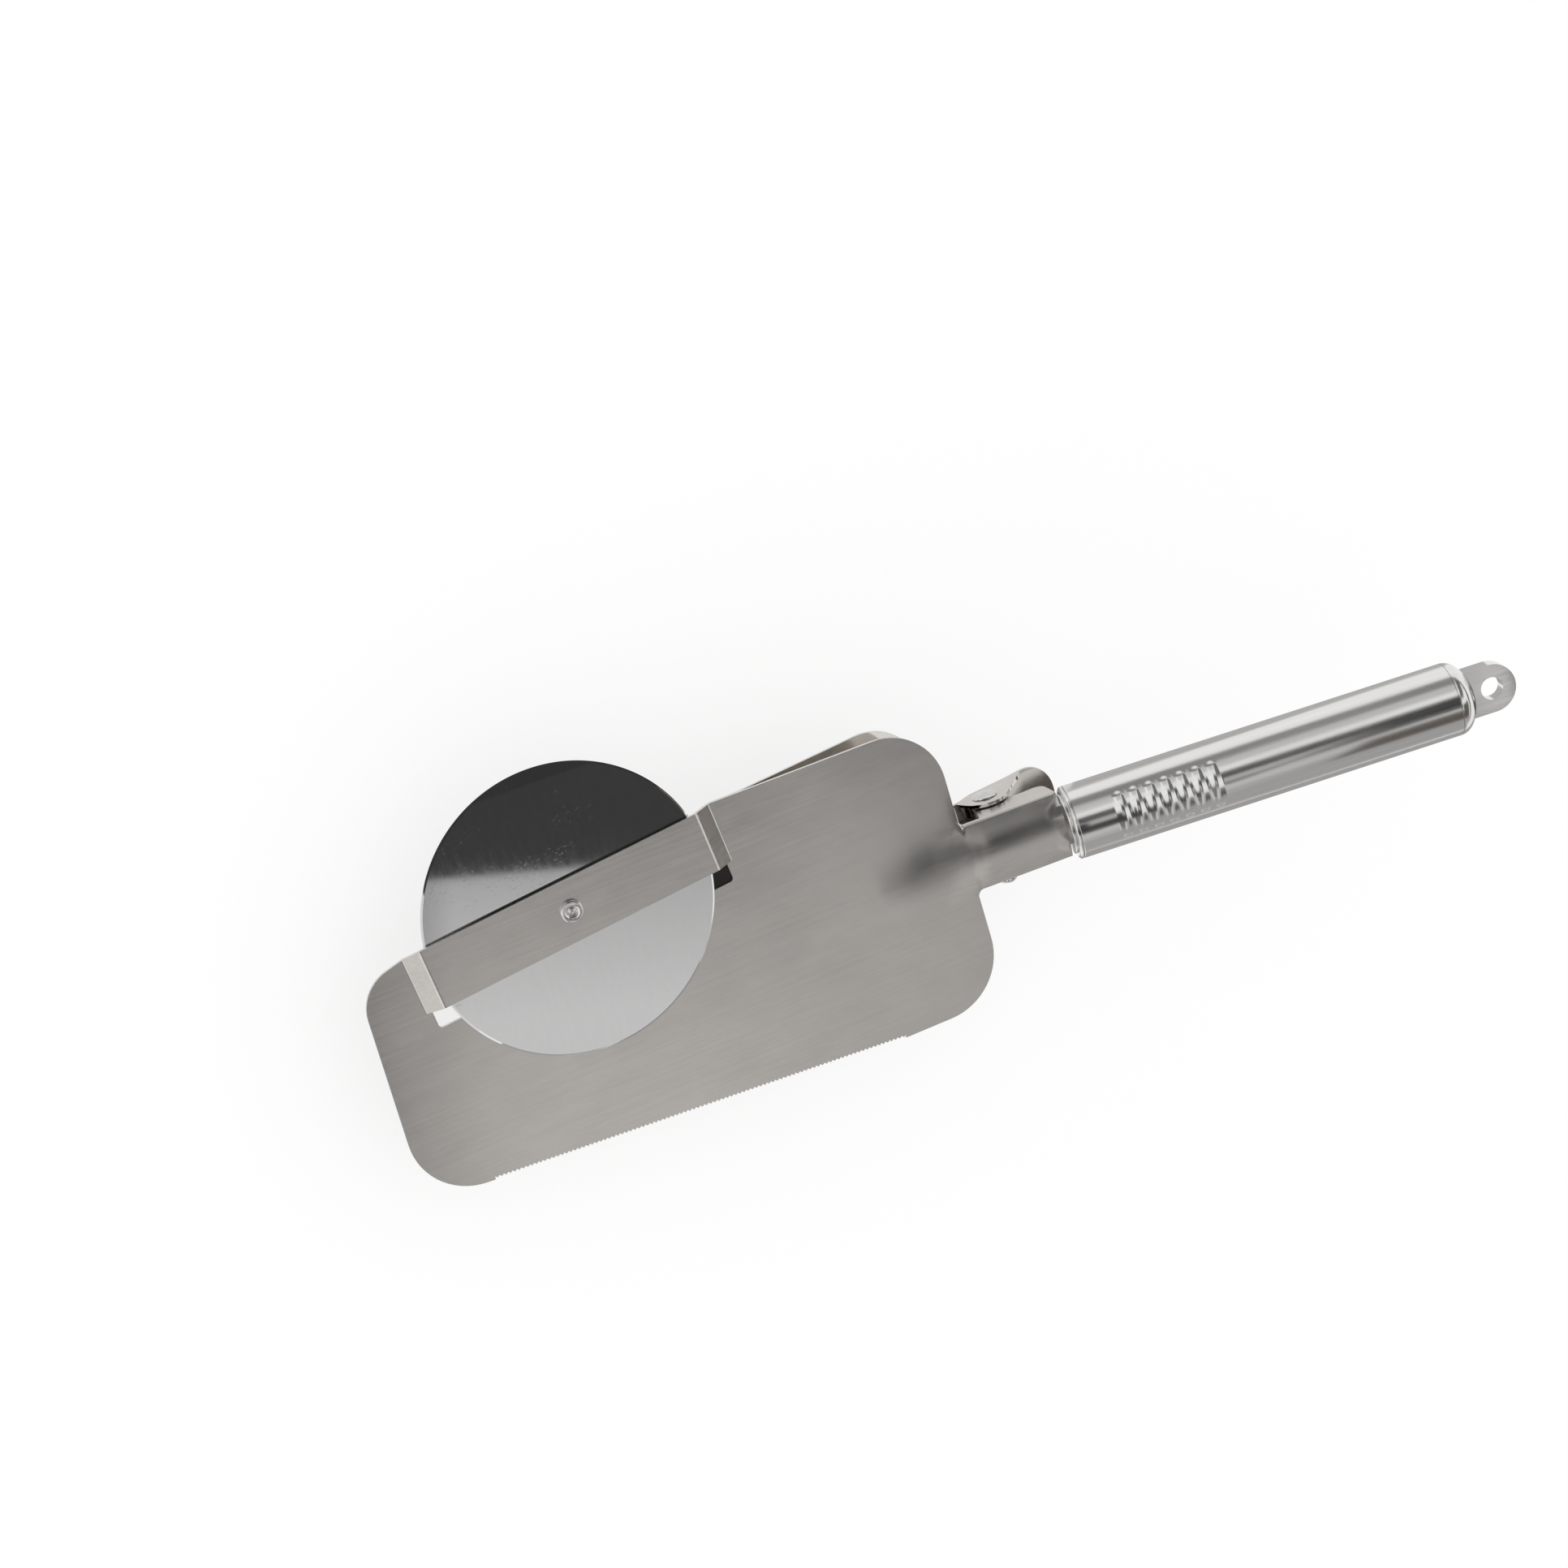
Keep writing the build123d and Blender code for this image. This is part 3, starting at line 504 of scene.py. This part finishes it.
class CUTTER_OT_rivets(bpy.types.Operator):
    """Axle rivet with a rolled, dimpled head, and the hinge rivet"""
    bl_idname = "cutter.rivets"
    bl_label = "Rivets"

    def execute(self, context):
        self.axle(context.scene.cutter_wheel)
        self.hinge()
        return {"FINISHED"}

    def axle(self, wheel):
        """Rolled head with a button in its dimple, shank and domed closed end."""
        seat, radius = wheel.head_seat, wheel.head_radius
        top = seat + wheel.head_height
        shank, closed, dome, corner = 2.0 * MM, 3.0 * MM, 0.9 * MM, 0.12 * MM
        half_disc, play, washer = 0.4 * MM, 0.06 * MM, 0.4 * MM
        back = -(half_disc + play + washer)
        roll = 0.65 * MM
        ring, dimple = radius - roll, 1.2 * MM
        button, button_rise, button_foot = 0.85 * MM, 0.3 * MM, top - 0.7 * MM
        dimple_floor = (1.05 * MM, top - 0.75 * MM)
        head = arc((0.0, button_foot), (button, button_rise), 90, 0, 8) + [dimple_floor]
        head += arc((ring, top - roll), (ring - dimple, roll), 180, 90, 8)
        head += arc((ring, top - roll), roll, 84, 0, 12)
        head += [(radius, seat + corner), (radius - corner, seat), (shank, seat), (shank, back)]
        head += [(closed, back)] + arc((0.0, back), (closed, dome), 0, -90, 10)
        place = axes_matrix(BLADE_ALONG, ACROSS, BLADE_FRONT, WHEEL_PLACE)
        add_piece(lathe(head, 96, place), "axle_head", "rivet_steel", "frame", "axle_rivet")

    def hinge(self):
        """Low domed head on one ear and closed end under the other."""
        seat, radius, height = 10.57 * MM, 3.4 * MM, 1.0 * MM
        shank, closed, dome, corner = 1.5 * MM, 2.4 * MM, 1.2 * MM, 0.08 * MM
        end = -seat - 3.8 * MM
        pin = arc((0.0, seat), (radius, height), 90, 8, 14)
        pin += [(radius, seat + corner), (radius - corner, seat), (shank, seat), (shank, -seat)]
        pin += [(closed - corner, -seat), (closed, -seat - corner)]
        pin += arc((0.0, end + dome), (closed, dome), 0, -90, 12)
        place = axes_matrix(Vector((0, 0, 1)), Vector((1, 0, 0)), ACROSS, HINGE_PLACE)
        add_piece(lathe(pin, 72, place), "hinge_pin", "rivet_steel", "frame", "hinge_rivet")


class CUTTER_OT_grip(bpy.types.Operator):
    """Ribbed handle tube, stepped front cap and end cap with its hanging lug"""
    bl_idname = "cutter.grip"
    bl_label = "Handle"

    def execute(self, context):
        grip = context.scene.cutter_grip
        place, radius, length = handle_matrix()
        self.tube(grip, place, radius, length)
        self.front_cap(place, radius)
        cap_rounding = 0.35 * MM
        end_cap = sheet_copy("end_cap", cap_rounding, GRIP_ALONG, GRIP_FRONT)
        add_piece(end_cap, "end_cap_lug", "polished_tube", "frame", "end_cap")
        return {"FINISHED"}

    def tube(self, grip, place, radius, length):
        """Turned tube whose ribs are pressed out from inside."""
        chamfer, row_step = 0.18 * MM, 0.16 * MM
        last_rib = grip.first_rib + (grip.rib_count - 1) * grip.rib_pitch
        reach = grip.rib_pitch / 2
        rows = [grip.first_rib - reach]
        while rows[-1] < last_rib + reach:
            rows.append(rows[-1] + row_step)
        outside = [(radius - chamfer, 0.0), (radius, chamfer)] + [(radius, row) for row in rows]
        outside += [(radius, length - chamfer), (radius - chamfer, length)]
        inside = [(radius - grip.wall, length), (radius - grip.wall, 0.0), (radius - chamfer, 0.0)]
        shape = lathe(outside + inside, 288, Matrix.Identity(4))
        for vert in shape.verts:
            if rows[0] < vert.co.z < rows[-1] and vert.co.xy.length > radius - chamfer:
                vert.co.xy *= 1 + self.rib_rise(grip, radius, vert.co) / radius
        bmesh.ops.transform(shape, matrix=place, verts=shape.verts)
        map_grain(shape, straight_grain(GRIP_ALONG, GRIP_FRONT))
        add_piece(shape, "grip_tube", "polished_tube", "frame", "handle_tube", sharp_angle=40.0)

    def rib_rise(self, grip, radius, point):
        """Height of the ribs above the plain tube at a point of it."""
        number = round((point.z - grip.first_rib) / grip.rib_pitch)
        number = min(max(number, 0), grip.rib_count - 1)
        along = point.z - grip.first_rib - number * grip.rib_pitch
        turn = abs(math.atan2(point.x, point.y) - grip.rib_roll)
        beyond = max(turn - grip.rib_half_angle, 0.0) * radius
        away = math.hypot(along, beyond)
        skirt = grip.rib_pitch / 2
        if away >= skirt:
            return 0.0
        return grip.rib_height * (0.5 + 0.5 * math.cos(math.pi * away / skirt))

    def front_cap(self, place, radius):
        """Front cap: thin face ring, groove and rounded shoulder up to the tube."""
        face, face_round = -1.9 * MM, 0.3 * MM
        ring, groove, shoulder = 8.1 * MM, 7.75 * MM, 8.45 * MM
        groove_start, groove_end, shoulder_start = 0.62 * MM, 0.7 * MM, 0.72 * MM
        shoulder_end, rim, rim_round = -0.42 * MM, -0.34 * MM, 0.18 * MM
        spigot, spigot_end = radius - 0.85 * MM, 12.0 * MM
        rise = shoulder_end - face - shoulder_start
        profile = [(0.0, face), (ring - face_round, face)]
        profile += arc((ring - face_round, face + face_round), face_round, -90, 60, 8)
        profile += [(groove, face + groove_start), (groove, face + groove_end)]
        profile += arc((shoulder, shoulder_end), (radius - shoulder, rise), -100, 0, 14)
        profile += [(radius, rim)] + arc((radius - rim_round, rim), rim_round, 0, 90, 4)
        profile += [(spigot, rim + rim_round), (spigot, spigot_end), (0.0, spigot_end)]
        shape = lathe(profile, 160, place)
        map_grain(shape, turned_grain(place))
        add_piece(shape, "grip_front_cap", "polished_tube", "frame", "front_cap", sharp_angle=45.0)


class CUTTER_OT_spring(bpy.types.Operator):
    """Torsion spring with one leg under the neck: a merged copy of its solid that stays in place as the jaw turns
    """
    bl_idname = "cutter.spring"
    bl_label = "Spring"

    def execute(self, context):
        shape = node_copy("torsion_spring")
        piece = add_piece(shape, "hinge_spring", "spring_wire", None, "torsion_spring")
        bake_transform(piece)
        return {"FINISHED"}


class CUTTER_OT_inside(bpy.types.Operator):
    """Sleeve, washers, bush and pin, which keep their solids"""
    bl_idname = "cutter.inside"
    bl_label = "Inner pieces"

    def execute(self, context):
        for row in frame["record"]["subparts"]:
            node = frame["nodes"][row["node"]]
            if not node.hide_render:
                node.data.materials.clear()
                node.data.materials.append(finish(row["material_slot"]))
        return {"FINISHED"}


class CUTTER_OT_studio(bpy.types.Operator):
    """Floor, even white world, soft lamp, panels that the polish mirrors, and the camera"""
    bl_idname = "cutter.studio"
    bl_label = "Studio"

    def execute(self, context):
        studio = context.scene.cutter_studio
        context.scene.view_settings.view_transform = "Standard"
        self.world(context.scene, studio)
        self.floor(studio)
        self.lamp(studio)
        camera = self.camera(context.scene, studio)
        self.handle_panels(camera)
        self.blade_panels(camera)
        self.side_panels()
        return {"FINISHED"}

    def world(self, scene, studio):
        """Even white light from all round."""
        world = bpy.data.worlds.new("studio_white")
        world.use_nodes = True
        background = world.node_tree.nodes["Background"]
        background.inputs["Color"].default_value = (1.0, 1.0, 1.0, 1.0)
        background.inputs["Strength"].default_value = studio.world_strength
        scene.world = world

    def floor(self, studio):
        """Pale floor under the tool."""
        shape = bmesh.new()
        bmesh.ops.create_grid(shape, x_segments=1, y_segments=1, size=studio.floor_half)
        bmesh.ops.translate(shape, vec=(0.0, 0.0, self.floor_height()), verts=shape.verts)
        mesh = bpy.data.meshes.new("floor")
        shape.to_mesh(mesh)
        shape.free()
        mesh.materials.append(self.floor_paint(studio))
        floor = bpy.data.objects.new("floor", mesh)
        bpy.context.scene.collection.objects.link(floor)

    def floor_height(self):
        """Lowest level that the jaw reaches where it is fully open."""
        joint = JOINTS["jaw_hinge"]
        turn = Matrix.Rotation(math.radians(joint["range_deg"][1]), 3, Vector(joint["axis"]))
        jaw = frame["nodes"]["clamp_jaw"].data
        lowest = min((HINGE_PLACE + turn @ (vert.co - HINGE_PLACE)).z for vert in jaw.vertices)
        return min(lowest, 0.0)

    def floor_paint(self, studio):
        """Pale paint that stays pale for the camera and in reflections, and keeps a soft shadow."""
        paint = bpy.data.materials.new("floor_paint")
        paint.use_nodes = True
        tree = paint.node_tree
        shader = tree.nodes["Principled BSDF"]
        shader.inputs["Base Color"].default_value = (*studio.floor_colour, 1.0)
        shader.inputs["Roughness"].default_value = 0.9
        shader.inputs["Specular IOR Level"].default_value = 0.0
        white = tree.nodes.new("ShaderNodeEmission")
        path = tree.nodes.new("ShaderNodeLightPath")
        seen = blended(tree, path.outputs["Is Camera Ray"], path.outputs["Is Glossy Ray"], "MAXIMUM")
        seen = blended(tree, seen, path.outputs["Is Transmission Ray"], "MAXIMUM")
        mix = tree.nodes.new("ShaderNodeMixShader")
        tree.links.new(blended(tree, seen, float(studio.floor_white), "MULTIPLY"), mix.inputs["Fac"])
        tree.links.new(shader.outputs["BSDF"], mix.inputs[1])
        tree.links.new(white.outputs["Emission"], mix.inputs[2])
        tree.links.new(mix.outputs["Shader"], tree.nodes["Material Output"].inputs["Surface"])
        return paint

    def lamp(self, studio):
        """Soft lamp that the polish does not mirror."""
        data = bpy.data.lights.new("soft_lamp", "AREA")
        data.energy = studio.lamp_power
        data.size = studio.lamp_side
        lamp = bpy.data.objects.new("soft_lamp", data)
        lamp.location = studio.lamp_place
        lamp.rotation_euler = (-lamp.location).to_track_quat("-Z", "Y").to_euler()
        lamp.visible_glossy = False
        bpy.context.scene.collection.objects.link(lamp)

    def camera(self, scene, studio):
        """Camera over the front of the tool."""
        data = bpy.data.cameras.new("camera")
        data.sensor_width = 36.0
        data.lens = studio.lens
        data.clip_start = 0.01
        camera = bpy.data.objects.new("camera", data)
        camera.location = HINGE_PLACE + Vector(studio.camera_place)
        camera.rotation_euler = Euler(studio.camera_turn)
        scene.collection.objects.link(camera)
        scene.camera = camera
        return camera

    def card_paint(self):
        """Glow that takes its tone from the card's corners."""
        paint = bpy.data.materials.new("card_paint")
        paint.use_nodes = True
        tree = paint.node_tree
        tree.nodes.clear()
        tone = tree.nodes.new("ShaderNodeAttribute")
        tone.attribute_name = "tone"
        glow = tree.nodes.new("ShaderNodeEmission")
        tree.links.new(tone.outputs["Color"], glow.inputs["Color"])
        output = tree.nodes.new("ShaderNodeOutputMaterial")
        tree.links.new(glow.outputs["Emission"], output.inputs["Surface"])
        return paint

    def panel(self, name, corners, tones, tint=(1.0, 0.992, 0.984)):
        """A card that only reflections see, with the tone of each corner."""
        shape = bmesh.new()
        shape.faces.new([shape.verts.new(corner) for corner in corners])
        mesh = bpy.data.meshes.new(name)
        shape.to_mesh(mesh)
        shape.free()
        colours = mesh.color_attributes.new("tone", "FLOAT_COLOR", "POINT")
        for corner, tone in zip(colours.data, tones):
            corner.color = (*shaded(tint, tone), 1.0)
        mesh.materials.append(bpy.data.materials.get("card_paint") or self.card_paint())
        panel = bpy.data.objects.new(name, mesh)
        panel.visible_camera = False
        panel.visible_diffuse = False
        panel.visible_transmission = False
        panel.visible_volume_scatter = False
        panel.visible_shadow = False
        bpy.context.scene.collection.objects.link(panel)

    def handle_panels(self, camera):
        """Strips along the handle, from its upper side to the front, as the polished tube mirrors them."""
        place, _, _ = handle_matrix()
        strip_middle = 0.05
        middle = place @ Vector((0.0, 0.0, strip_middle))
        to_camera = Vector(camera.location) - middle
        to_camera = (to_camera - GRIP_ALONG * to_camera.dot(GRIP_ALONG)).normalized()
        above = to_camera.cross(GRIP_ALONG)
        wide, close, front, back, far_back = 0.75, 0.035, -0.3, 0.38, 0.9
        # Name, distance from the handle, angles round it, reach along it, tones of the two ends
        strips = [("upper_strip", wide, (68, 42), (front, back), (0.25, 0.25)),
                  ("middle_strip", wide, (42, 19), (front, back), (0.62, 0.62)),
                  ("bright_strip", wide, (19, 4), (front, back), (1.12, 1.12)),
                  ("rib_strip", wide, (68, -8), (back, far_back), (0.16, 0.16)),
                  ("neck_strip", close, (-14, -27), (-0.062, -0.044), (0.05, 0.05)),
                  ("low_neck_strip", close, (-27, -41), (-0.078, -0.024), (0.05, 0.05)),
                  ("neck_end_strip", close, (-29, -41), (-0.09, -0.078), (0.45, 0.05))]
        for name, away, (start, end), (near, far), (near_tone, far_tone) in strips:
            corners = []
            for degrees, along in ((start, near), (start, far), (end, far), (end, near)):
                turn = math.radians(degrees)
                outward = to_camera * math.cos(turn) + above * math.sin(turn)
                corners.append(middle + outward * away + GRIP_ALONG * along)
            self.panel(name, corners, (near_tone, far_tone, far_tone, near_tone))

    def blade_panels(self, camera):
        """Dark card above and light cards below the line on the wheel, and a near-black card in the gap behind the
        slot that paints the shade there.
        """
        line_along, line_across, line_lean, card_away = -0.01455, 0.01548, math.radians(5), 0.5
        on_wheel = WHEEL_PLACE + BLADE_ALONG * line_along + ACROSS * line_across
        ray = (on_wheel - Vector(camera.location)).normalized()
        mirrored = ray - 2 * ray.dot(BLADE_FRONT) * BLADE_FRONT
        turn = Matrix(camera.rotation_euler.to_matrix())
        line = turn @ Vector((math.cos(line_lean), math.sin(line_lean), 0.0))
        line = line - 2 * line.dot(BLADE_FRONT) * BLADE_FRONT
        centre = on_wheel + mirrored * card_away
        line = (line - mirrored * line.dot(mirrored)).normalized()
        upwards = mirrored.cross(line)
        if upwards.dot(ACROSS) < 0:
            upwards = -upwards
        dark, light, soft, middle, pale, dim, shade = 0.05, 0.68, 0.62, 0.55, 0.48, 0.42, 0.2
        # Name, reach along the line, reach above it, how much nearer, tones of the corners
        cards = [("dark_card", (-0.14, 0.205), (0.0, 0.36), 0.0, [dark] * 4),
                 ("light_card", (-0.019, 0.09), (-0.45, -0.06), 0.0, [light] * 4),
                 ("near_light_card", (-0.019, 0.09), (-0.06, 0.0), 0.0, [light, light, pale, pale]),
                 ("right_card", (0.09, 0.15), (-0.45, -0.06), 0.0, [light, pale, soft, light]),
                 ("near_right_card", (0.09, 0.15), (-0.06, 0.0), 0.0, [light, soft, soft, pale]),
                 ("rear_end_card", (0.15, 0.21), (-0.1, 0.0), 0.0, [soft] * 4),
                 ("low_neck_card", (0.15, 0.21), (-0.45, -0.1), 0.0, [pale] * 4),
                 ("left_card", (-0.06, -0.019), (-0.45, -0.06), 0.0, [shade, light, light, shade]),
                 ("near_left_card", (-0.06, -0.019), (-0.06, 0.0), 0.0, [shade, light, pale, shade]),
                 ("far_left_card", (-0.2, -0.06), (-0.45, 0.0), 0.0, [shade] * 4),
                 ("far_right_card", (0.21, 0.45), (-0.45, -0.01), 0.0, [dim] * 4),
                 ("tube_card", (-0.1, 0.12), (0.055, 0.165), 0.004, [middle] * 4),
                 ("rear_blade_card", (0.12, 0.205), (0.0, 0.04), 0.004, [middle] * 4),
                 ("end_card", (0.205, 0.225), (0.0, 0.1), 0.0, [0.6] * 4)]
        for name, sides, heights, nearer, tones in cards:
            self.flat_card(name, centre - mirrored * nearer, line, upwards, sides, heights, tones)
        # Painted shade: a near-black card in the gap behind the slot, which the jaw mirrors so that the slot looks
        # dark
        slot = WHEEL_PLACE - BLADE_FRONT * 1.2 * MM
        along, across = (0.0362, 0.043), (-0.0105, -0.0042)
        self.flat_card("slot_painted_shade_card", slot, BLADE_ALONG, ACROSS, along, across, [0.03] * 4)

    def flat_card(self, name, centre, line, upwards, sides, heights, tones):
        """Card in the plane of two directions."""
        (left, right), (low, high) = sides, heights
        corners = [centre + line * along + upwards * up
                   for along, up in ((left, low), (right, low), (right, high), (left, high))]
        self.panel(name, corners, tones)

    def side_panels(self):
        """Low cards at the sides, which the slopes, the neck's ear and the handle's edges mirror."""
        x, y, z = HINGE_PLACE
        brown, grey = (1.0, 0.86, 0.765), (1.0, 0.985, 0.97)
        # Name, axis it stands across, distance from the hinge, reach, heights, tone and tint
        upright = [("rear_card", "x", 0.6, (-0.7, 0.5), (0.24, 0.345), 0.14, brown),
                   ("tip_card", "x", -0.6, (-0.6, 0.25), (0.12, 0.38), 0.8, grey),
                   ("low_card", "y", -0.5, (-0.4, 0.33), (0.001, 0.5), 0.42, grey),
                   ("low_end_card", "y", -0.5, (0.33, 0.6), (0.2, 0.5), 0.42, grey)]
        for name, axis, away, (start, end), (low, high), tone, tint in upright:
            corners = [(x + away, y + along, up) if axis == "x" else (x + along, y + away, up)
                       for along, up in ((start, low), (end, low), (end, high), (start, high))]
            self.panel(name, corners, [tone] * 4, tint)
        # Name, height, reach along and across from the hinge, tone and tint
        level = [("ear_mat_card", 0.0004, (-0.02, 0.03), (-0.005, 0.06), 0.78, grey),
                 ("tube_mat_card", 0.0004, (0.03, 0.17), (-0.005, 0.06), 0.5, grey),
                 ("near_mat_card", 0.0004, (0.01, 0.3), (-0.3, -0.02), 0.4, grey),
                 ("rim_card", 0.05, (-0.24, 0.0), (0.05, 0.16), 0.04, grey),
                 ("tongue_card", 0.17, (0.076, 0.246), (-0.134, -0.049), 0.12, brown),
                 ("slope_card", 0.17, (0.126, 0.246), (-0.049, -0.014), 0.12, brown)]
        for name, up, (start, end), (near, far), tone, tint in level:
            corners = [(x + along, y + side, up)
                       for along, side in ((start, near), (end, near), (end, far), (start, far))]
            self.panel(name, corners, [tone] * 4, tint)


class CUTTER_PT_sidebar(bpy.types.Panel):
    """Lists the operators that make the cutter"""
    bl_idname = "CUTTER_PT_sidebar"
    bl_label = "Cutter and server"
    bl_space_type = "VIEW_3D"
    bl_region_type = "UI"
    bl_category = "Cutter"

    def draw(self, context):
        for maker in OPERATORS:
            self.layout.operator(maker.bl_idname)


GROUPS = {"cutter_sheet": SheetSettings, "cutter_wheel": WheelSettings, "cutter_grip": GripSettings,
          "cutter_studio": StudioSettings}
OPERATORS = (CUTTER_OT_sheets, CUTTER_OT_wheel, CUTTER_OT_rivets, CUTTER_OT_grip, CUTTER_OT_spring,
             CUTTER_OT_inside, CUTTER_OT_studio)


def register():
    for group in GROUPS.values():
        bpy.utils.register_class(group)
    for maker in OPERATORS:
        bpy.utils.register_class(maker)
    bpy.utils.register_class(CUTTER_PT_sidebar)
    for name, group in GROUPS.items():
        setattr(bpy.types.Scene, name, PointerProperty(type=group))


def unregister():
    for name in GROUPS:
        delattr(bpy.types.Scene, name)
    bpy.utils.unregister_class(CUTTER_PT_sidebar)
    for maker in reversed(OPERATORS):
        bpy.utils.unregister_class(maker)
    for group in reversed(list(GROUPS.values())):
        bpy.utils.unregister_class(group)


def main():
    register()
    bpy.ops.cutter.sheets()
    bpy.ops.cutter.wheel()
    bpy.ops.cutter.rivets()
    bpy.ops.cutter.grip()
    bpy.ops.cutter.spring()
    bpy.ops.cutter.inside()
    bpy.ops.cutter.studio()


if __name__ == "__main__":
    main()
